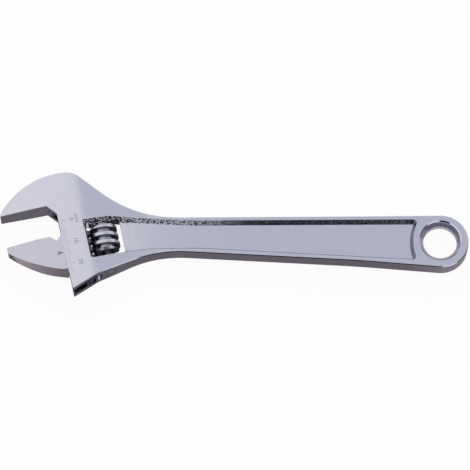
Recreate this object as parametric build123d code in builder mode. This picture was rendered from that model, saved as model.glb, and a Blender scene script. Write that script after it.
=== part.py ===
from build123d import *
import math
import os

os.makedirs("parts", exist_ok=True)

# Adjustable wrench of 200 mm nominal length, in millimetres.
# Origin: centre of the hanging hole, on the mid-plane. +X runs from the jaws to the
# hanging end, +Z stands square to the flat faces, +Y is the fixed jaw's side.

# Head: t runs along the jaw faces towards the handle, s runs along the slide, opening.
# t = 0 is the front edge that the movable jaw slides on, s = 0 is the fixed jaw's face.
head_angle = 14.0
head_x = -167.7
head_y = 11.6
head_thickness = 12.0
fixed_tip_t = -24.3
fixed_tip_height = 0.8
fixed_tip_thickness = 9.4
fixed_taper_t = -6.0
throat_t = -3.8
throat_s = 4.4
front_edge_s = 39.5
facet_end = (11.5, 35.1)
apex = (10.7, -13.1)
apex_radius = 9.0
outer_arc_middle = (-12.9, -10.1)
face_bend_t = 14.0
neck_bend_t = 33.0
bend_radius = 120.0

# Handle: an I-section with a sunk panel on both sides and an eye at the end.
handle_thickness = 8.4
shoulder = (-132.7, 7.05)
shoulder_radius = 56.0
belly = (-122.4, -7.85)
belly_radius = 55.0
flare_x = -35.0
flare_half_width = 10.25
flare_radius = 600.0
eye_radius = 11.9
eye_centre = (0.35, -0.4)
hole_radius = 7.35
hole_sink = 1.85
hole_lip = 0.5
hole_land = 3.0
edge_chamfer = 0.3

# Sunk panel of the handle, from the eye to the far side of the worm window.
panel_depth = 2.8
panel_draft = 26.0
panel_top_end = (-9.4, 9.4)
panel_end_x = -11.75
panel_bottom_end = (-9.7, -9.35)
panel_bottom = [(-104.0, -6.55), (-124.0, -7.25), (-135.5, -8.7), (-137.5, -9.1)]
panel_left_t = 11.1
panel_left_s = 10.3
panel_neck = (22.2, 10.65)
panel_top = [(-134.9, 6.85), (-108.0, 6.3)]
panel_corner_radius = 1.6

# Movable jaw, drawn at the opening of the rest position.
rest_opening = 14.35
jaw_tip_t = -24.2
jaw_tip_height = 2.4
jaw_tip_thickness = 6.9
jaw_taper_t = -11.0
jaw_face_end_t = -5.0
jaw_notch = (-3.2, 1.65)
jaw_cut_height = 7.95
jaw_height = 16.2
jaw_arc_middle = (-13.2, 10.7)
jaw_shoulder_clearance = 0.2
jaw_edge_chamfer = 0.45
web_thickness = 5.7
web_rise = 1.1
slide_clearance = 0.15

# Cylinder of the movable jaw, which runs in the keyhole bore of the head.
cylinder_t = 9.6
cylinder_radius = 4.1
rack_floor = 2.4
rack_relief = 1.2
bore_clearance = 0.1
bore_overrun = 0.6

# Adjusting worm: a left-hand thread that meshes with the rack on the cylinder.
worm_radius = 6.0
worm_pitch = 3.66
thread_depth = 2.1
thread_crest = 1.6
crest_chamfer = 0.2
thread_flank = 12.0
mesh_clearance = 0.2
worm_start_s = 11.7
collar_radius = 3.0
collar_length = 1.5
worm_thread_length = 11.6
thread_lead_in = 1.48
thread_top_chamfer = 0.5
thread_end_chamfer = 1.2
worm_top_gap = 0.1
worm_end_gap = 2.8
window_left_gap = 1.8
window_right_gap = 1.65
window_corner_radius = 1.2

# Pin that carries the worm, and the spring that takes up its end play.
pin_radius = 1.6
pin_clearance = 0.06
pin_seat_depth = 4.0
screw_radius = 2.1
screw_end_s = 33.0
screw_slot_width = 0.7
screw_slot_depth = 1.0
spring_wire = 0.7
wire_facets = 6
spring_mean_radius = 2.25
spring_pitch = 1.4
spring_turns = 4
spring_pocket_gap = 0.2
spring_seat_gap = 0.05

# Planes of the head, worked out from the sizes above.
along = Vector(math.cos(math.radians(head_angle)), math.sin(math.radians(head_angle)), 0)
opening = Vector(along.Y, -along.X, 0)
corner = Vector(head_x, head_y, 0)
head_plane = Plane(origin=corner, x_dir=along, z_dir=(0, 0, -1))
thickness_plane = Plane(origin=corner, x_dir=along, z_dir=opening)


def head_point(t, s):
    """Place of a head point on the mid-plane, in the wrench's own X and Y."""
    return corner + along * t + opening * s


def slide_plane(t, s):
    """Plane square to the slide at a head point: x along the jaw faces, y along +Z."""
    return Plane(origin=head_point(t, s), x_dir=along, z_dir=opening)


def axial_plane(t):
    """Plane that holds an axis parallel to the slide: x off the axis, y along the slide."""
    return Plane(origin=head_point(t, 0), x_dir=along, z_dir=(0, 0, -1))


def eye_tangent(side):
    """Point where the handle's edge runs into the eye, on its +Y side for 1 or -Y side for -1."""
    away_x = flare_x - eye_centre[0]
    away_y = side * flare_half_width - eye_centre[1]
    turn = math.acos(eye_radius / math.hypot(away_x, away_y))
    angle = math.atan2(away_y, away_x) - side * turn
    return (eye_centre[0] + eye_radius * math.cos(angle), eye_centre[1] + eye_radius * math.sin(angle))


def is_forged(face):
    """True for an upright face of the body away from the mouth, the slide and its lower end."""
    place = head_plane.to_local_coords(face.center())
    upright = math.isclose(face.normal_at().Z, 0, abs_tol=0.01)
    return upright and (place.X > facet_end[0] or place.Y < -fixed_tip_height)


half_head = head_thickness / 2
half_handle = handle_thickness / 2
reach = eye_radius - head_x - fixed_tip_t
bore_radius = cylinder_radius + bore_clearance
bore_top_s = -web_rise - bore_overrun
slot_half = web_thickness / 2 + slide_clearance
worm_t = cylinder_t + rack_floor + mesh_clearance + worm_radius
worm_core_radius = worm_radius - thread_depth
flank_slope = math.tan(math.radians(thread_flank))
thread_top_s = worm_start_s + collar_length
thread_start_s = thread_top_s + thread_lead_in
worm_end_s = thread_top_s + worm_thread_length
window_left_t = worm_t - worm_radius - window_left_gap
window_right_t = worm_t + worm_radius + window_right_gap
window_top_s = worm_start_s - worm_top_gap
window_bottom_s = worm_end_s + worm_end_gap
spring_end_s = window_bottom_s - spring_seat_gap
spring_length = spring_turns * spring_pitch + spring_wire

# Sunk panel, as the solid that is taken out of one face of the handle.
with BuildPart() as panel_recess:
    with BuildSketch(Plane.XY.offset(half_handle)) as panel_outline:
        with BuildLine():
            ThreePointArc(panel_top_end, (panel_end_x, 0), panel_bottom_end)
            Polyline(
                panel_bottom_end,
                *panel_bottom,
                head_point(panel_left_t, window_top_s + window_corner_radius),
                head_point(panel_left_t, panel_left_s),
                head_point(*panel_neck),
                *panel_top,
                panel_top_end,
            )
        make_face()
        fillet(panel_outline.vertices().sort_by(Axis.X)[-2:], radius=panel_corner_radius)
    extrude(amount=-panel_depth, taper=panel_draft)
    extrude(panel_outline.sketch, amount=head_thickness - handle_thickness, taper=-panel_draft)

# Body: handle and fixed jaw, one forging.
with BuildPart() as body:
    eye_top = eye_tangent(1)
    eye_bottom = eye_tangent(-1)
    with BuildSketch(Plane.XY.offset(-head_thickness)) as outline:
        with BuildLine():
            Polyline(
                head_point(fixed_tip_t, -fixed_tip_height),
                head_point(fixed_tip_t, 0),
                head_point(throat_t, 0),
                head_point(0, throat_s),
                head_point(0, front_edge_s),
                head_point(*facet_end),
            )
            FilletPolyline(
                head_point(*facet_end),
                belly,
                (flare_x, -flare_half_width),
                eye_bottom,
                radius=[belly_radius, flare_radius],
            )
            ThreePointArc(eye_bottom, (eye_centre[0] + eye_radius, eye_centre[1]), eye_top)
            FilletPolyline(
                eye_top,
                (flare_x, flare_half_width),
                shoulder,
                head_point(*apex),
                radius=[flare_radius, shoulder_radius],
            )
            ThreePointArc(
                head_point(*apex),
                head_point(*outer_arc_middle),
                head_point(fixed_tip_t, -fixed_tip_height),
            )
        make_face()
        fillet(outline.vertices().sort_by(Axis.Y)[-1], radius=apex_radius)
    extrude(amount=2 * head_thickness)

    # The head is flat and full thickness; the jaw and the neck thin down from it.
    with BuildSketch(thickness_plane) as side_profile:
        with BuildLine():
            jaw_line = (half_head - fixed_tip_thickness / 2) / (fixed_taper_t - fixed_tip_t)
            start_t = 2 * fixed_tip_t
            start_half = half_head - jaw_line * (fixed_taper_t - start_t)
            Polyline(
                (start_t, 0),
                (start_t, start_half),
                (fixed_taper_t, half_head),
                (face_bend_t, half_head),
                (neck_bend_t, half_handle),
                (reach, half_handle),
                (reach, 0),
            )
            mirror(about=Plane.XZ)
        make_face()
        bends = side_profile.vertices().filter_by_position(Axis.X, start_t + 1, reach - 1)
        fillet(bends, radius=bend_radius)
    extrude(amount=reach, both=True, mode=Mode.INTERSECT)

    # Forged edges are broken; the ground edges of the mouth and the slide stay crisp.
    forged = body.faces().filter_by(is_forged)
    chamfer(forged.edges().filter_by(Axis.Z, reverse=True), length=edge_chamfer)

    # Sunk panels on both faces.
    add(panel_recess.part, mode=Mode.SUBTRACT)
    mirror(panel_recess.part, about=Plane.XY, mode=Mode.SUBTRACT)

    # Hanging hole, countersunk from both faces.
    with BuildSketch(Plane.XZ):
        with BuildLine():
            sunk_radius = hole_radius + hole_sink
            Polyline(
                (0, -head_thickness),
                (sunk_radius, -head_thickness),
                (sunk_radius, -half_handle),
                (sunk_radius - hole_lip, hole_lip - half_handle),
                (hole_radius, -hole_land / 2),
                (hole_radius, hole_land / 2),
                (sunk_radius - hole_lip, half_handle - hole_lip),
                (sunk_radius, half_handle),
                (sunk_radius, head_thickness),
                (0, head_thickness),
                close=True,
            )
        make_face()
    revolve(axis=Axis.Z, mode=Mode.SUBTRACT)

    # Window of the worm, right through the head.
    with BuildSketch(head_plane) as window:
        with BuildLine():
            Polyline(
                (window_left_t, window_top_s),
                (window_right_t, window_top_s),
                (window_right_t, window_bottom_s),
                (window_left_t, window_bottom_s),
                close=True,
            )
        make_face()
        fillet(window.vertices(), radius=window_corner_radius)
    extrude(amount=head_thickness, both=True, mode=Mode.SUBTRACT)

    # Keyhole: the bore of the jaw's cylinder and the slot of its web, open at the bottom.
    with BuildSketch(slide_plane(0, bore_top_s)):
        with Locations((cylinder_t, 0)):
            Circle(bore_radius)
        slot_start_t = throat_t + bore_overrun
        with Locations(((slot_start_t + cylinder_t) / 2, 0)):
            Rectangle(cylinder_t - slot_start_t, 2 * slot_half)
    extrude(amount=2 * front_edge_s, mode=Mode.SUBTRACT)

    # Seat of the pin: blind above the window, a wider screw hole below it.
    with BuildSketch(axial_plane(worm_t)):
        with BuildLine():
            Polyline(
                (0, window_top_s - pin_seat_depth),
                (pin_radius + pin_clearance, window_top_s - pin_seat_depth),
                (pin_radius + pin_clearance, worm_start_s),
                (screw_radius + pin_clearance, worm_end_s),
                (screw_radius + pin_clearance, 2 * front_edge_s),
                (0, 2 * front_edge_s),
                close=True,
            )
        make_face()
    revolve(axis=Axis(head_point(worm_t, 0), opening), mode=Mode.SUBTRACT)

body.part.label = "body"
export_step(body.part, "parts/body.step")

# Movable jaw: jaw, web and cylinder are one forging, with the rack cut into the cylinder.
with BuildPart() as movable_jaw:
    shoulder_t = -jaw_shoulder_clearance
    jaw_foot_s = rest_opening + jaw_height
    with BuildSketch(head_plane.offset(-head_thickness)) as jaw_outline:
        with BuildLine():
            Polyline(
                (jaw_tip_t, rest_opening + jaw_tip_height),
                (jaw_tip_t, rest_opening),
                (jaw_face_end_t, rest_opening),
                (jaw_notch[0], rest_opening + jaw_notch[1]),
                (shoulder_t, rest_opening + jaw_cut_height),
                (shoulder_t, jaw_foot_s),
            )
            ThreePointArc(
                (shoulder_t, jaw_foot_s),
                (jaw_arc_middle[0], rest_opening + jaw_arc_middle[1]),
                (jaw_tip_t, rest_opening + jaw_tip_height),
            )
        make_face()
    extrude(amount=2 * head_thickness)
    with BuildSketch(thickness_plane) as jaw_profile:
        with BuildLine():
            taper = (half_head - jaw_tip_thickness / 2) / (jaw_taper_t - jaw_tip_t)
            start_t = 1.5 * jaw_tip_t
            Polyline(
                (start_t, 0),
                (start_t, half_head - taper * (jaw_taper_t - start_t)),
                (jaw_taper_t, half_head),
                (cylinder_t, half_head),
                (cylinder_t, 0),
            )
            mirror(about=Plane.XZ)
        make_face()
    extrude(amount=2 * front_edge_s, mode=Mode.INTERSECT)
    backs = movable_jaw.faces().filter_by(GeomType.CYLINDER)
    chamfer(backs.edges().filter_by(Axis.Z, reverse=True), length=jaw_edge_chamfer)

    # Web, thinner than the jaw, from behind the jaw's face to the cylinder.
    with BuildSketch(head_plane.offset(-web_thickness / 2)):
        with BuildLine():
            Polyline(
                (jaw_face_end_t, rest_opening + jaw_cut_height),
                (jaw_notch[0], rest_opening + jaw_notch[1]),
                (0, rest_opening - web_rise),
                (cylinder_t, rest_opening - web_rise),
                (cylinder_t, jaw_foot_s),
                (shoulder_t, jaw_foot_s),
                close=True,
            )
        make_face()
    extrude(amount=web_thickness)
    with BuildSketch(slide_plane(cylinder_t, rest_opening - web_rise)):
        Circle(cylinder_radius)
    extrude(amount=jaw_height + web_rise)

    # Rack: one tooth space is cut into the cylinder for each turn of the thread.
    rack_floor_t = cylinder_t + rack_floor
    space_floor = thread_crest / 2 + mesh_clearance
    space_root = space_floor - rack_relief * flank_slope
    space_mouth = space_floor + 2 * thread_depth * flank_slope
    lead_slope = worm_pitch / (2 * math.pi * (worm_radius - thread_depth / 2))
    first_space = math.floor((rest_opening - web_rise - thread_start_s) / worm_pitch) - 1
    last_space = math.ceil((jaw_foot_s - thread_start_s) / worm_pitch) + 1
    for turn in range(first_space, last_space):
        space_plane = Plane(
            origin=head_point(rack_floor_t, thread_start_s + (turn + 0.5) * worm_pitch),
            x_dir=along,
            z_dir=Vector(0, 0, 1) + opening * lead_slope,
        )
        with BuildSketch(space_plane):
            with BuildLine():
                Polyline(
                    (-rack_relief, -space_root),
                    (2 * thread_depth, -space_mouth),
                    (2 * thread_depth, space_mouth),
                    (-rack_relief, space_root),
                    close=True,
                )
            make_face()
        extrude(amount=2 * cylinder_radius, both=True, mode=Mode.SUBTRACT)

movable_jaw.part.label = "movable_jaw"
export_step(movable_jaw.part, "parts/movable_jaw.step")

# Adjusting worm: a screw thread on a core, trimmed to its blank, bored for the pin.
with BuildPart() as worm_blank:
    with BuildSketch(axial_plane(worm_t)):
        with BuildLine():
            blank_radius = worm_radius + mesh_clearance
            Polyline(
                (0, worm_start_s),
                (collar_radius, worm_start_s),
                (collar_radius, thread_top_s),
                (blank_radius - thread_top_chamfer, thread_top_s),
                (blank_radius, thread_top_s + thread_top_chamfer),
                (blank_radius, worm_end_s - thread_end_chamfer),
                (blank_radius - thread_end_chamfer, worm_end_s),
                (0, worm_end_s),
                close=True,
            )
        make_face()
    revolve(axis=Axis(head_point(worm_t, 0), opening))

thread_turn = Helix(worm_pitch, worm_pitch, worm_core_radius, lefthand=True)

with BuildPart() as adjusting_worm:
    with BuildSketch(slide_plane(worm_t, worm_start_s)):
        Circle(worm_core_radius)
    extrude(amount=worm_end_s - worm_start_s)
    root_sink = thread_depth / 6
    half_crest = thread_crest / 2
    half_root = half_crest + (thread_depth + root_sink) * flank_slope
    for turn in range(-1, math.ceil(worm_thread_length / worm_pitch)):
        turn_plane = slide_plane(worm_t, thread_start_s + turn * worm_pitch)
        tooth_plane = Plane(
            origin=turn_plane.origin + along * worm_core_radius,
            x_dir=along,
            z_dir=turn_plane.y_dir,
        )
        with BuildSketch(tooth_plane) as tooth:
            with BuildLine():
                Polyline(
                    (-root_sink, -half_root),
                    (thread_depth, -half_crest),
                    (thread_depth, half_crest),
                    (-root_sink, half_root),
                    close=True,
                )
            make_face()
            chamfer(tooth.vertices().group_by(Axis((0, 0, 0), along))[-1], length=crest_chamfer)
        sweep(path=turn_plane * thread_turn, is_frenet=True)
    add(worm_blank.part, mode=Mode.INTERSECT)

    # Bore for the pin, and the pocket of the spring in the lower end.
    with BuildSketch(slide_plane(worm_t, worm_start_s)):
        Circle(pin_radius + pin_clearance)
    extrude(amount=worm_end_s - worm_start_s, mode=Mode.SUBTRACT)
    with BuildSketch(slide_plane(worm_t, spring_end_s)):
        Circle(spring_mean_radius + spring_wire / 2 + spring_pocket_gap)
    extrude(amount=-spring_length - spring_pocket_gap, mode=Mode.SUBTRACT)

adjusting_worm.part.label = "adjusting_worm"
export_step(adjusting_worm.part, "parts/adjusting_worm.step")

# Pin: a plain shank that carries the worm, with a slotted screw end below the window.
with BuildPart() as worm_pin:
    with BuildSketch(axial_plane(worm_t)):
        with BuildLine():
            Polyline(
                (0, window_top_s - pin_seat_depth + pin_clearance),
                (pin_radius, window_top_s - pin_seat_depth + pin_clearance),
                (pin_radius, window_bottom_s + pin_clearance),
                (screw_radius, window_bottom_s + pin_clearance + screw_radius - pin_radius),
                (screw_radius, screw_end_s),
                (0, screw_end_s),
                close=True,
            )
        make_face()
    revolve(axis=Axis(head_point(worm_t, 0), opening))
    with BuildSketch(slide_plane(worm_t, screw_end_s)):
        Rectangle(3 * screw_radius, screw_slot_width)
    extrude(amount=-screw_slot_depth, mode=Mode.SUBTRACT)

worm_pin.part.label = "worm_pin"
export_step(worm_pin.part, "parts/worm_pin.step")

# Spring: one wire wound round the pin, each quarter turn drawn as two tangent arcs.
spring_climb = spring_pitch / (2 * math.pi)
spring_start = head_point(worm_t, spring_end_s - spring_length + spring_wire / 2)


def wire_point(angle):
    """Centre of the wire at an angle round the pin."""
    out = along * math.cos(angle) + Vector(0, 0, math.sin(angle))
    return spring_start + out * spring_mean_radius + opening * (spring_climb * angle)


def wire_heading(angle):
    """Unit direction of the wire at an angle round the pin."""
    turn = Vector(0, 0, math.cos(angle)) - along * math.sin(angle)
    return (turn * spring_mean_radius + opening * spring_climb).normalized()


with BuildPart() as worm_spring:
    with BuildLine() as wire_path:
        quarter = math.pi / 2
        for step in range(4 * spring_turns):
            start = wire_point(step * quarter)
            end = wire_point((step + 1) * quarter)
            start_heading = wire_heading(step * quarter)
            end_heading = wire_heading((step + 1) * quarter)
            span = end - start
            along_both = span.dot(start_heading + end_heading)
            bend = 2 * (1 - start_heading.dot(end_heading))
            arm = (math.sqrt(along_both**2 + bend * span.dot(span)) - along_both) / bend
            first_knot = start + start_heading * arm
            second_knot = end - end_heading * arm
            join = (first_knot + second_knot) * 0.5
            TangentArc(start, join, tangent=start_heading)
            TangentArc(join, end, tangent=second_knot - first_knot)
    with BuildSketch(Plane(origin=wire_path.line @ 0, z_dir=wire_path.line % 0)):
        RegularPolygon(spring_wire / 2, side_count=wire_facets)
    sweep(path=wire_path.line)

worm_spring.part.label = "worm_spring"
export_step(worm_spring.part, "parts/worm_spring.step")

samples_per_turn = 60
sample_count = samples_per_turn * spring_turns
wire_samples = [wire_path.line @ (index / sample_count) for index in range(sample_count + 1)]
self_gap = min(
    (wire_samples[first] - wire_samples[second]).length - spring_wire
    for first in range(len(wire_samples))
    for second in range(first + samples_per_turn // 2, len(wire_samples))
)
print(f"worm_spring least gap to itself {self_gap:.2f} mm")
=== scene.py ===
import math

import bpy
import numpy as np
from mathutils import Matrix, Vector


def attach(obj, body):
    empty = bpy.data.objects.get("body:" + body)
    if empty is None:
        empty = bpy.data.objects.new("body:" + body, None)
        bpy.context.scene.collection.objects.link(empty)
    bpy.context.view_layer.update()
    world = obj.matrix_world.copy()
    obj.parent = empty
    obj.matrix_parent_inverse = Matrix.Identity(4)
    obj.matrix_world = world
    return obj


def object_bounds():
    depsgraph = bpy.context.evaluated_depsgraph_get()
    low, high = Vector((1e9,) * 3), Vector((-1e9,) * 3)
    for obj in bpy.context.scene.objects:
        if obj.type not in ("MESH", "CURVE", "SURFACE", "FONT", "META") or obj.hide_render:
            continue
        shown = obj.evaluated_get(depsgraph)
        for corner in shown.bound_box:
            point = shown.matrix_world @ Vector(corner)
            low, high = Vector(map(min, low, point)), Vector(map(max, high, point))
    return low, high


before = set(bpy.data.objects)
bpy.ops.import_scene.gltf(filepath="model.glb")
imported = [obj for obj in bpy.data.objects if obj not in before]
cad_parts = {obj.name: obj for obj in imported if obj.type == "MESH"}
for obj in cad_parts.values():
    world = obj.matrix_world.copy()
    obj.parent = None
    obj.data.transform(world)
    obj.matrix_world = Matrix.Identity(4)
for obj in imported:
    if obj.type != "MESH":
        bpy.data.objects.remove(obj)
cad_low, cad_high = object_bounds()

# Body: the handle and the fixed jaw are one drop forging of alloy steel. The faces of the
# head and the edges of the handle are belt ground, the sunk panels keep their forged skin,
# and the whole is plated with satin nickel and chrome.
MM = 0.001
HEAD_ANGLE = math.radians(14.0)
GRIND_SPACING = 0.35 * MM
GRIND_STRETCH = 0.04
GRIND_DEPTH = 0.02 * MM
PEEL_GRAIN = 2.6 * MM
PEEL_DEPTH = 0.05 * MM
PIT_GRAIN = 0.9 * MM
PIT_DEPTH = 2.0 * MM
# Pattern levels between which the walls' pits go from full painted shade to none.
PIT_FLOOR = 0.42
PIT_RIM = 0.54
WALL_RISE = 0.44
WALL_RISE_SPREAD = 0.16
COARSE_SKIN_END_X = -0.118
FINE_SKIN_START_X = -0.080
FINE_SKIN_PITS = 0.15
# Share of painted shade on the slanted walls further along the handle.
FINE_WALL_PAINTED_SHADE = 0.75
PANEL_END_X = -0.0095


def linear(hex_colour):
    """Turns an sRGB hex colour into the linear red, green, blue and alpha that shaders take."""
    srgb = np.array([int(hex_colour[start:start + 2], 16) for start in (1, 3, 5)]) / 255
    low = srgb / 12.92
    high = ((srgb + 0.055) / 1.055) ** 2.4
    return (*np.where(srgb <= 0.04045, low, high).tolist(), 1.0)


def new_material(name):
    """Makes an empty node material, ready for its nodes."""
    material = bpy.data.materials.new(name)
    material.use_nodes = True
    material.node_tree.nodes.clear()
    return material


def add_node(owner, kind, settings=None, inputs=None):
    """Adds a node with its own settings. An input is a constant, or an output socket to link."""
    tree = owner.node_tree
    node = tree.nodes.new(kind)
    for name, value in (settings or {}).items():
        setattr(node, name, value)
    for name, value in (inputs or {}).items():
        if isinstance(value, bpy.types.NodeSocket):
            tree.links.new(value, node.inputs[name])
        else:
            node.inputs[name].default_value = value
    return node


def ground_finish(owner):
    """Adds the belt's drawn grain: a noise along the head's axes, stretched across the head.

    Gives the place along those axes, the grain, the normal that it bumps and its roughness.
    """
    place = add_node(owner, "ShaderNodeTexCoord")
    turned = add_node(owner, "ShaderNodeMapping", None, {
        "Vector": place.outputs["Object"],
        "Rotation": (0.0, 0.0, -HEAD_ANGLE),
    })
    stretched = add_node(owner, "ShaderNodeMapping", None, {
        "Vector": turned.outputs["Vector"],
        "Scale": (1.0, GRIND_STRETCH, 1.0),
    })
    grind = add_node(owner, "ShaderNodeTexNoise", None, {
        "Vector": stretched.outputs["Vector"],
        "Scale": 1.0 / GRIND_SPACING,
        "Detail": 3.0,
        "Roughness": 0.6,
    })
    bump = add_node(owner, "ShaderNodeBump", None, {
        "Height": grind.outputs["Fac"],
        "Strength": 0.05,
        "Distance": GRIND_DEPTH,
    })
    polish = add_node(owner, "ShaderNodeMapRange", None, {
        "Value": grind.outputs["Fac"],
        "To Min": 0.08,
        "To Max": 0.16,
    })
    return {
        "place": turned.outputs["Vector"],
        "grain": grind.outputs["Fac"],
        "normal": bump.outputs["Normal"],
        "roughness": polish.outputs["Result"],
    }


def dress(node_name, material):
    """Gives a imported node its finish."""
    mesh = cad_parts[node_name].data
    mesh.materials.clear()
    mesh.materials.append(material)


# Satin chrome over a forging: the ground faces mirror softly, with a faint drawn grain across
# the head. The panels' slanted walls keep the pitted forged skin, bumped so that they glitter, and
# their colour is painted shade: darker in the pits and evenly darker further along the handle.
# The belt's lines and the pits are really about 0.1 and 0.3 mm, drawn coarser so that they show.
satin_chrome = new_material("satin_chrome_on_forged_steel")
ground = ground_finish(satin_chrome)
place = add_node(satin_chrome, "ShaderNodeTexCoord")
peel = add_node(satin_chrome, "ShaderNodeTexNoise", None, {
    "Vector": place.outputs["Object"],
    "Scale": 1.0 / PEEL_GRAIN,
    "Detail": 2.0,
    "Roughness": 0.5,
})
pits = add_node(satin_chrome, "ShaderNodeTexNoise", None, {
    "Vector": place.outputs["Object"],
    "Scale": 1.0 / PIT_GRAIN,
    "Detail": 1.0,
    "Roughness": 0.5,
})
facing = add_node(satin_chrome, "ShaderNodeNewGeometry")
facing_parts = add_node(satin_chrome, "ShaderNodeSeparateXYZ", None, {
    "Vector": facing.outputs["Normal"],
})
rise = add_node(satin_chrome, "ShaderNodeMath", {"operation": "ABSOLUTE"}, {
    0: facing_parts.outputs["Z"],
})
slanted = add_node(satin_chrome, "ShaderNodeMath", {"operation": "COMPARE"}, {
    0: rise.outputs["Value"],
    1: WALL_RISE,
    2: WALL_RISE_SPREAD,
})
place_parts = add_node(satin_chrome, "ShaderNodeSeparateXYZ", None, {
    "Vector": place.outputs["Object"],
})
on_handle = add_node(satin_chrome, "ShaderNodeMath", {"operation": "LESS_THAN"}, {
    0: place_parts.outputs["X"],
    1: PANEL_END_X,
})
# The slanted walls on the handle, which get both the bumped pits and the painted shade.
skin_and_shade_walls = add_node(satin_chrome, "ShaderNodeMath", {"operation": "MULTIPLY"}, {
    0: slanted.outputs["Value"],
    1: on_handle.outputs["Value"],
})
coarse = add_node(satin_chrome, "ShaderNodeMapRange", {"interpolation_type": "SMOOTHSTEP"}, {
    "Value": place_parts.outputs["X"],
    "From Min": COARSE_SKIN_END_X,
    "From Max": FINE_SKIN_START_X,
    "To Min": 1.0,
    "To Max": FINE_SKIN_PITS,
})
pit_strength = add_node(satin_chrome, "ShaderNodeMath", {"operation": "MULTIPLY"}, {
    0: skin_and_shade_walls.outputs["Value"],
    1: coarse.outputs["Result"],
})
peel_bump = add_node(satin_chrome, "ShaderNodeBump", None, {
    "Height": peel.outputs["Fac"],
    "Strength": 0.25,
    "Distance": PEEL_DEPTH,
    "Normal": ground["normal"],
})
pit_bump = add_node(satin_chrome, "ShaderNodeBump", None, {
    "Height": pits.outputs["Fac"],
    "Strength": pit_strength.outputs["Value"],
    "Distance": PIT_DEPTH,
    "Normal": peel_bump.outputs["Normal"],
})
tone = add_node(satin_chrome, "ShaderNodeMix", {"data_type": "RGBA"}, {
    "Factor": peel.outputs["Fac"],
    "A": linear("#CCCBD7"),
    "B": linear("#D0CFDB"),
})
# Painted shade: the pits of the slanted walls are coloured darker.
pit_painted_shade = add_node(satin_chrome, "ShaderNodeMapRange", None, {
    "Value": pits.outputs["Fac"],
    "From Min": PIT_FLOOR,
    "From Max": PIT_RIM,
    "To Min": 1.0,
    "To Max": 0.0,
})
# Painted shade: further along the handle the slanted walls are evenly darker.
wall_painted_shade = add_node(satin_chrome, "ShaderNodeMix", {"data_type": "FLOAT"}, {
    "Factor": coarse.outputs["Result"],
    "A": FINE_WALL_PAINTED_SHADE,
    "B": pit_painted_shade.outputs["Result"],
})
painted_shade_share = add_node(satin_chrome, "ShaderNodeMath", {"operation": "MULTIPLY"}, {
    0: skin_and_shade_walls.outputs["Value"],
    1: wall_painted_shade.outputs["Result"],
})
# Painted shade: the slanted walls' colour goes towards this dark grey.
painted_shade_tone = add_node(satin_chrome, "ShaderNodeMix", {"data_type": "RGBA"}, {
    "Factor": painted_shade_share.outputs["Value"],
    "A": tone.outputs["Result"],
    "B": linear("#3E3C44"),
})
satin_shader = add_node(satin_chrome, "ShaderNodeBsdfPrincipled", None, {
    "Base Color": painted_shade_tone.outputs["Result"],
    "Metallic": 1.0,
    "Roughness": ground["roughness"],
    "Normal": pit_bump.outputs["Normal"],
})
add_node(satin_chrome, "ShaderNodeOutputMaterial", None, {"Surface": satin_shader.outputs["BSDF"]})
dress("body", satin_chrome)

# Movable jaw: a second forging, with its web and toothed cylinder in one piece. It is ground
# and plated like the body, and slides in the keyhole slot of the head. The rack is cut after
# plating, so it is bare steel; its dark colour is partly that steel and partly painted shade
# of the window's hollow round it.
RACK_START = -155.4 * MM

# Satin chrome like the body's: a soft mirror with a drawn grain, again coarser than real.
jaw_chrome = new_material("satin_chrome_on_ground_steel")
ground = ground_finish(jaw_chrome)
tone = add_node(jaw_chrome, "ShaderNodeMix", {"data_type": "RGBA"}, {
    "Factor": ground["grain"],
    "A": linear("#C0BFCB"),
    "B": linear("#C6C5D1"),
})
head_parts = add_node(jaw_chrome, "ShaderNodeSeparateXYZ", None, {"Vector": ground["place"]})
on_rack = add_node(jaw_chrome, "ShaderNodeMath", {"operation": "GREATER_THAN"}, {
    0: head_parts.outputs["X"],
    1: RACK_START,
})
# Painted shade: the rack is coloured dark, partly as bare steel and partly for the window's hollow.
rack_steel_and_painted_shade = add_node(jaw_chrome, "ShaderNodeMix", {"data_type": "RGBA"}, {
    "Factor": on_rack.outputs["Value"],
    "A": tone.outputs["Result"],
    "B": linear("#5E5C64"),
})
jaw_shader = add_node(jaw_chrome, "ShaderNodeBsdfPrincipled", None, {
    "Base Color": rack_steel_and_painted_shade.outputs["Result"],
    "Metallic": 1.0,
    "Roughness": ground["roughness"],
    "Normal": ground["normal"],
})
add_node(jaw_chrome, "ShaderNodeOutputMaterial", None, {"Surface": jaw_shader.outputs["BSDF"]})
dress("movable_jaw", jaw_chrome)

# Adjusting worm: a thumb screw turned from bar and plated, which runs on its pin in the window
# of the head and meshes with the jaw's rack. Its colour is painted darker towards the groove
# floors, as painted shade, so the crests stand out lighter.
WORM_AXIS = 141.71 * MM
# Radii between which the grooves' painted shade fades out.
GROOVE_FOOT = 4.2 * MM
GROOVE_TOP = 5.6 * MM
OIL_SMEAR = 1.5 * MM

# Chrome on a turned thread: soft highlights that run along the crests, and painted shade in the
# grooves.
bright_chrome = new_material("bright_chrome_on_turned_steel")
place = add_node(bright_chrome, "ShaderNodeTexCoord")
turned = add_node(bright_chrome, "ShaderNodeMapping", None, {
    "Vector": place.outputs["Object"],
    "Location": (WORM_AXIS, 0.0, 0.0),
    "Rotation": (0.0, 0.0, -HEAD_ANGLE),
})
across = add_node(bright_chrome, "ShaderNodeMapping", None, {
    "Vector": turned.outputs["Vector"],
    "Scale": (1.0, 0.0, 1.0),
})
radius = add_node(bright_chrome, "ShaderNodeVectorMath", {"operation": "LENGTH"}, {
    0: across.outputs["Vector"],
})
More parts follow.
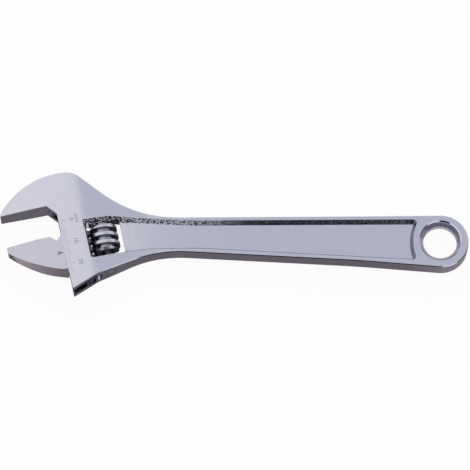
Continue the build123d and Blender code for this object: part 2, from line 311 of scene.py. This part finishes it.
# Painted shade: darker towards the worm's axis, in the grooves.
groove_painted_shade = add_node(bright_chrome, "ShaderNodeMapRange", None, {
    "Value": radius.outputs["Value"],
    "From Min": GROOVE_FOOT,
    "From Max": GROOVE_TOP,
})
tone = add_node(bright_chrome, "ShaderNodeMix", {"data_type": "RGBA"}, {
    "Factor": groove_painted_shade.outputs["Result"],
    "A": linear("#A5A4AF"),
    "B": linear("#C6C6D1"),
})
smear = add_node(bright_chrome, "ShaderNodeTexNoise", None, {
    "Vector": place.outputs["Object"],
    "Scale": 1.0 / OIL_SMEAR,
    "Detail": 3.0,
})
polish = add_node(bright_chrome, "ShaderNodeMapRange", None, {
    "Value": smear.outputs["Fac"],
    "To Min": 0.22,
    "To Max": 0.34,
})
worm_shader = add_node(bright_chrome, "ShaderNodeBsdfPrincipled", None, {
    "Base Color": tone.outputs["Result"],
    "Metallic": 1.0,
    "Roughness": polish.outputs["Result"],
})
add_node(bright_chrome, "ShaderNodeOutputMaterial", None, {"Surface": worm_shader.outputs["BSDF"]})
dress("adjusting_worm", bright_chrome)

# Pin: a turned steel pin through the worm, screwed into the head below the window by its slotted
# end. It is left bare of plating, so it has a dull grey sheen.
TURNING_MARKS = 0.8 * MM
bare_steel = new_material("turned_bare_steel")
place = add_node(bare_steel, "ShaderNodeTexCoord")
smear = add_node(bare_steel, "ShaderNodeTexNoise", None, {
    "Vector": place.outputs["Object"],
    "Scale": 1.0 / TURNING_MARKS,
    "Detail": 3.0,
})
polish = add_node(bare_steel, "ShaderNodeMapRange", None, {
    "Value": smear.outputs["Fac"],
    "To Min": 0.25,
    "To Max": 0.4,
})
pin_shader = add_node(bare_steel, "ShaderNodeBsdfPrincipled", None, {
    "Base Color": linear("#7C7A7E"),
    "Metallic": 1.0,
    "Roughness": polish.outputs["Result"],
})
add_node(bare_steel, "ShaderNodeOutputMaterial", None, {"Surface": pin_shader.outputs["BSDF"]})
dress("worm_pin", bare_steel)

# Spring: drawn and oil-hardened wire, coiled round the pin between the worm's end and the
# window's foot. It takes up the worm's end play. Its film is nearly black, with a brown cast.
FILM_PATCH = 0.6 * MM
spring_wire = new_material("oil_hardened_spring_wire")
place = add_node(spring_wire, "ShaderNodeTexCoord")
oxide_film = add_node(spring_wire, "ShaderNodeTexNoise", None, {
    "Vector": place.outputs["Object"],
    "Scale": 1.0 / FILM_PATCH,
    "Detail": 3.0,
})
tone = add_node(spring_wire, "ShaderNodeMix", {"data_type": "RGBA"}, {
    "Factor": oxide_film.outputs["Fac"],
    "A": linear("#4A4746"),
    "B": linear("#68635F"),
})
spring_shader = add_node(spring_wire, "ShaderNodeBsdfPrincipled", None, {
    "Base Color": tone.outputs["Result"],
    "Metallic": 1.0,
    "Roughness": 0.38,
})
add_node(spring_wire, "ShaderNodeOutputMaterial", None, {"Surface": spring_shader.outputs["BSDF"]})
dress("worm_spring", spring_wire)

# Scale: a millimetre rule on the head beside the jaw's slide, etched through the plating and
# left dull. It reads the jaws' opening, from 0 to 24 mm. Places and sizes on the head are in mm.
HEAD_CORNER = Vector((-167.7, 11.6, 6.0)) * MM
ALONG_FACE = Vector((math.cos(HEAD_ANGLE), math.sin(HEAD_ANGLE), 0.0))
ALONG_SLIDE = Vector((math.sin(HEAD_ANGLE), -math.cos(HEAD_ANGLE), 0.0))
ETCH_DEPTH = 0.02 * MM
FROST_GRAIN = 0.5 * MM
SCALE_ZERO = 8.2
SCALE_LENGTH = 24
TICK_START = 0.6
TICK_WIDTH = 0.12
TEN_TICK = 3.0
FIVE_TICK = 2.2
ONE_TICK = 1.5
LETTER_HEIGHT = 1.9
CAPITAL_SHARE = 0.7

# Etched steel: frosted, so it stays grey where the plating round it is bright.
etched_steel = new_material("etched_bare_steel")
place = add_node(etched_steel, "ShaderNodeTexCoord")
frosting = add_node(etched_steel, "ShaderNodeTexNoise", None, {
    "Vector": place.outputs["Object"],
    "Scale": 1.0 / FROST_GRAIN,
    "Detail": 2.0,
})
etched_tone = add_node(etched_steel, "ShaderNodeMix", {"data_type": "RGBA"}, {
    "Factor": frosting.outputs["Fac"],
    "A": linear("#85828D"),
    "B": linear("#A19EAA"),
})
etched_shader = add_node(etched_steel, "ShaderNodeBsdfPrincipled", None, {
    "Base Color": etched_tone.outputs["Result"],
    "Metallic": 1.0,
    "Roughness": 0.45,
})
add_node(etched_steel, "ShaderNodeOutputMaterial", None, {"Surface": etched_shader.outputs["BSDF"]})


def face_places(along_mm, slide_mm):
    """Turns head sizes in mm into places: the head's corner, plus each run times its direction."""
    along = np.multiply.outer(np.asarray(along_mm) * MM, np.array(ALONG_FACE))
    slide = np.multiply.outer(np.asarray(slide_mm) * MM, np.array(ALONG_SLIDE))
    return np.array(HEAD_CORNER) + along + slide


def etched_plates(name, outlines):
    """Closes each flat outline into a thin plate: its ring just over the face, and again just under.

    Outlines is an array of plates, by ring corners, by three coordinates. The sides join each
    corner to the next one round the ring.
    """
    plates, corners, _ = outlines.shape
    lift = np.array([0.0, 0.0, ETCH_DEPTH])
    points = np.concatenate([outlines + lift, outlines - lift], axis=1).reshape(-1, 3)
    ring = np.arange(corners)
    after = (ring + 1) % corners
    sides = np.stack([ring, ring + corners, after + corners, after], axis=1)
    base = (np.arange(plates) * 2 * corners)[:, None]
    tops = (ring + base).tolist()
    bottoms = (ring[::-1] + corners + base).tolist()
    walls = (sides[None] + base[:, :, None]).reshape(-1, 4).tolist()
    mesh = bpy.data.meshes.new(name)
    mesh.from_pydata(points.tolist(), [], tops + bottoms + walls)
    return mesh


def add_object(name, data):
    """Makes an object of its data, and puts it in the scene."""
    made = bpy.data.objects.new(name, data)
    bpy.context.scene.collection.objects.link(made)
    return made


def etched_letters(name, words, along_mm, slide_mm):
    """Sets words on the head: letters run along the slide, with their tops towards the handle."""
    letters = bpy.data.curves.new(name, "FONT")
    letters.body = words
    letters.align_x = "CENTER"
    letters.align_y = "CENTER"
    letters.size = LETTER_HEIGHT * MM / CAPITAL_SHARE
    letters.extrude = ETCH_DEPTH
    holder = add_object(name, letters)
    bpy.context.view_layer.update()
    mesh = bpy.data.meshes.new_from_object(holder.evaluated_get(bpy.context.evaluated_depsgraph_get()))
    bpy.data.objects.remove(holder)
    set_in = Matrix((ALONG_SLIDE, ALONG_FACE, Vector((0.0, 0.0, 1.0)))).transposed().to_4x4()
    set_in.translation = Vector(face_places(along_mm, slide_mm))
    mesh.transform(set_in)
    return mesh


def add_etching(name, mesh, body_name):
    """Makes an etched piece of a mesh, which rides on the body that carries it."""
    mesh.materials.clear()
    mesh.materials.append(etched_steel)
    piece = add_object(name, mesh)
    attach(piece, body_name)


marks = np.arange(SCALE_LENGTH + 1)
tick_lengths = np.where(marks % 10 == 0, TEN_TICK, np.where(marks % 5 == 0, FIVE_TICK, ONE_TICK))
tick_along = TICK_START + tick_lengths[:, None] * np.array([0.0, 1.0, 1.0, 0.0])
tick_slide = SCALE_ZERO + marks[:, None] + TICK_WIDTH / 2 * np.array([1.0, 1.0, -1.0, -1.0])
tick_plates = etched_plates("scale_ticks", face_places(tick_along, tick_slide))
add_etching("scale_ticks", tick_plates, "frame")
for name, words, along, mark in (
    ("scale_0", "0", 5.6, 0),
    ("scale_10", "10", 5.7, 10),
    ("scale_20", "20", 5.8, 20),
    ("scale_mm", "mm", 7.9, 0),
):
    add_etching(name, etched_letters(name, words, along, SCALE_ZERO + mark), "frame")

# Pointer: a small arrow on the movable jaw, which reads its opening on the scale. It is etched
# through the plating as the scale is.
POINTER_ALONG = [-3.0, -3.4, -0.5]
POINTER_SLIDE = [21.45, 23.5, 22.7]
pointer_plate = etched_plates("pointer", face_places(POINTER_ALONG, POINTER_SLIDE)[None])
add_etching("pointer", pointer_plate, "jaw")

# Floor: a pale sweep of paper. The picture and the chrome see it white, with a share of its
# true shade left in, so that it keeps the wrench's soft shadow.
FLOOR_REACH = (-6.0, 6.0)
FLOOR_WHITE_SHARE = 0.94
floor_height = cad_low.z


def level_corners(x_range, y_range, height):
    """Gives the corners of a level rectangle, in order round it."""
    return [
        (x_range[0], y_range[0], height),
        (x_range[1], y_range[0], height),
        (x_range[1], y_range[1], height),
        (x_range[0], y_range[1], height),
    ]


def add_sheet(name, corners, finish):
    """Makes a flat sheet of its four corners, which isn't part of the wrench."""
    mesh = bpy.data.meshes.new(name)
    mesh.from_pydata(corners, [], [(0, 1, 2, 3)])
    mesh.materials.append(finish)
    sheet = add_object(name, mesh)
    return sheet


def shown_share(owner, share):
    """Gives the share to rays that the picture, the chrome or a clear body sees, and else 0."""
    ray = add_node(owner, "ShaderNodeLightPath")
    seen = add_node(owner, "ShaderNodeMath", {"operation": "ADD"}, {
        0: ray.outputs["Is Camera Ray"],
        1: ray.outputs["Is Glossy Ray"],
    })
    shown = add_node(owner, "ShaderNodeMath", {"operation": "ADD", "use_clamp": True}, {
        0: seen.outputs["Value"],
        1: ray.outputs["Is Transmission Ray"],
    })
    return add_node(owner, "ShaderNodeMath", {"operation": "MULTIPLY"}, {
        0: shown.outputs["Value"],
        1: share,
    }).outputs["Value"]


paper = new_material("matt_white_paper")
paper_shade = add_node(paper, "ShaderNodeBsdfDiffuse", None, {"Color": linear("#F7F7F7")})
paper_white = add_node(paper, "ShaderNodeEmission", None, {"Color": linear("#FFFFFF")})
paper_shader = add_node(paper, "ShaderNodeMixShader", None, {
    "Fac": shown_share(paper, FLOOR_WHITE_SHARE),
    1: paper_shade.outputs["BSDF"],
    2: paper_white.outputs["Emission"],
})
add_node(paper, "ShaderNodeOutputMaterial", None, {"Surface": paper_shader.outputs["Shader"]})
add_sheet("paper_floor", level_corners(FLOOR_REACH, FLOOR_REACH, floor_height), paper)

# Light: a white tent over the table, which the picture and the chrome see as plain white, and
# one soft lamp behind the wrench that casts the shadow.
world = bpy.data.worlds.new("white_tent")
world.use_nodes = True
world.node_tree.nodes.clear()
bpy.context.scene.world = world
ambient = add_node(world, "ShaderNodeBackground", None, {
    "Color": linear("#F2F4F8"),
    "Strength": 0.7,
})
backdrop = add_node(world, "ShaderNodeBackground", None, {
    "Color": linear("#FFFFFF"),
    "Strength": 1.0,
})
tent = add_node(world, "ShaderNodeMixShader", None, {
    "Fac": shown_share(world, 1.0),
    1: ambient.outputs["Background"],
    2: backdrop.outputs["Background"],
})
add_node(world, "ShaderNodeOutputWorld", None, {"Surface": tent.outputs["Shader"]})

LAMP_PLACE = Vector((0.0, 0.80, 0.75))
lamp_data = bpy.data.lights.new("back_softbox", "AREA")
lamp_data.shape = "RECTANGLE"
lamp_data.size = 0.9
lamp_data.size_y = 0.5
lamp_data.energy = 5.0
lamp = add_object("back_softbox", lamp_data)
lamp.location = (cad_low + cad_high) / 2 + LAMP_PLACE
lamp.rotation_euler = (-LAMP_PLACE).to_track_quat("-Z", "Y").to_euler()
lamp.visible_glossy = False

# Cards: glowing cards round the wrench, hidden from the picture, for the chrome to mirror. A grey
# card lies on the floor and a dark one under the window, as painted shade of the floor round and
# under the wrench; paler cards by the jaw and under the hanging hole are painted reflections.
# Dark flags stand in front and at the right, and a pale panel hangs above.
CARD_LIFT = 0.1 * MM
FRONT_FLAG_X = (-0.20, 0.04)
FRONT_FLAG_Y = -0.30
FRONT_FLAG_TOP = 0.17
RIGHT_FLAG_X = 0.35
RIGHT_FLAG_Y = (-0.30, 0.30)
RIGHT_FLAG_TOP = 0.12
HOLE_CARD_REACH = (-0.0085, 0.0085)
CEILING_HEIGHT = 1.0


def stand_card(name, corners, colour, far_colour=None, fade=None):
    """Stands a glowing card beside the picture, seen only in the chrome.

    With a far colour, its colour goes smoothly to that one between the two places along X that
    fade gives.
    """
    finish = new_material(name)
    card_colour = linear(colour)
    if far_colour:
        place = add_node(finish, "ShaderNodeTexCoord")
        place_parts = add_node(finish, "ShaderNodeSeparateXYZ", None, {
            "Vector": place.outputs["Object"],
        })
        run = add_node(finish, "ShaderNodeMapRange", {"interpolation_type": "SMOOTHSTEP"}, {
            "Value": place_parts.outputs["X"],
            "From Min": fade[0],
            "From Max": fade[1],
        })
        card_colour = add_node(finish, "ShaderNodeMix", {"data_type": "RGBA"}, {
            "Factor": run.outputs["Result"],
            "A": linear(colour),
            "B": linear(far_colour),
        }).outputs["Result"]
    shade = add_node(finish, "ShaderNodeEmission", None, {"Color": card_colour})
    add_node(finish, "ShaderNodeOutputMaterial", None, {"Surface": shade.outputs["Emission"]})
    card = add_sheet(name, corners, finish)
    card.visible_camera = False
    card.visible_diffuse = False
    card.visible_shadow = False


reflection_card_height = floor_height + CARD_LIFT
# Painted shade: a grey card on the floor, seen only in the chrome, so the lower sides mirror a dark
# floor; paler towards the hanging hole.
shade_card_corners = level_corners((-0.36, 0.16), (-0.30, 0.03), reflection_card_height)
stand_card("painted_shade_floor_card", shade_card_corners, "#746E74", "#988F95", (-0.02, 0.012))

# Painted reflection: a paler card in front of the jaw, seen only in the chrome, darker towards the
# head.
jaw_corners = level_corners((-0.36, -0.14), (-0.20, -0.013), reflection_card_height + CARD_LIFT)
stand_card("painted_reflection_jaw_card", jaw_corners, "#C4B6BA", "#6C666C", (-0.20, -0.150))

# Painted shade: a dark card under the window, seen only in the chrome, so the rack and the cavity
# mirror darkness.
window_height = reflection_card_height + 2 * CARD_LIFT
window_corners = [
    (-0.150, -0.0135, window_height),
    (-0.133, -0.009, window_height),
    (-0.137, 0.010, window_height),
    (-0.156, 0.005, window_height),
]
stand_card("painted_shade_window_card", window_corners, "#343338")

# Painted reflection: a pale card under the hanging hole, seen only in the chrome, which lightens the
# hole's inner wall.
hole_corners = level_corners(HOLE_CARD_REACH, HOLE_CARD_REACH, reflection_card_height + CARD_LIFT)
stand_card("painted_reflection_hole_card", hole_corners, "#BEB8BE")

front_corners = [
    (FRONT_FLAG_X[0], FRONT_FLAG_Y, floor_height),
    (FRONT_FLAG_X[1], FRONT_FLAG_Y, floor_height),
    (FRONT_FLAG_X[1], FRONT_FLAG_Y, FRONT_FLAG_TOP),
    (FRONT_FLAG_X[0], FRONT_FLAG_Y, FRONT_FLAG_TOP),
]
stand_card("front_flag", front_corners, "#0C0C0E")

right_corners = [
    (RIGHT_FLAG_X, RIGHT_FLAG_Y[0], floor_height),
    (RIGHT_FLAG_X, RIGHT_FLAG_Y[1], floor_height),
    (RIGHT_FLAG_X, RIGHT_FLAG_Y[1], RIGHT_FLAG_TOP),
    (RIGHT_FLAG_X, RIGHT_FLAG_Y[0], RIGHT_FLAG_TOP),
]
stand_card("right_flag", right_corners, "#66656E")

ceiling_corners = level_corners((-0.75, 0.9), (-0.10, 0.85), CEILING_HEIGHT)
stand_card("ceiling_panel", ceiling_corners, "#FFFFFF", "#D7DCE3", (-0.205, -0.152))

# Camera: a long lens above and in front, turned a little to the right, as in the photograph.
# It aims near the middle of the wrench.
CAMERA_DISTANCE = 1.4
CAMERA_ELEVATION = math.radians(70.0)
CAMERA_AZIMUTH = math.radians(1.5)
CAMERA_AIM = Vector((-89.11, 1.42, 0.50)) * MM
camera_data = bpy.data.cameras.new("camera")
camera_data.sensor_width = 36.0
camera_data.lens = 246.6
camera_data.clip_end = 20.0
camera = add_object("camera", camera_data)
towards_camera = Vector((
    math.sin(CAMERA_AZIMUTH) * math.cos(CAMERA_ELEVATION),
    -math.cos(CAMERA_AZIMUTH) * math.cos(CAMERA_ELEVATION),
    math.sin(CAMERA_ELEVATION),
))
camera.location = CAMERA_AIM + towards_camera * CAMERA_DISTANCE
camera.rotation_euler = (-towards_camera).to_track_quat("-Z", "Y").to_euler()
bpy.context.scene.camera = camera
bpy.context.scene.view_settings.view_transform = "Standard"
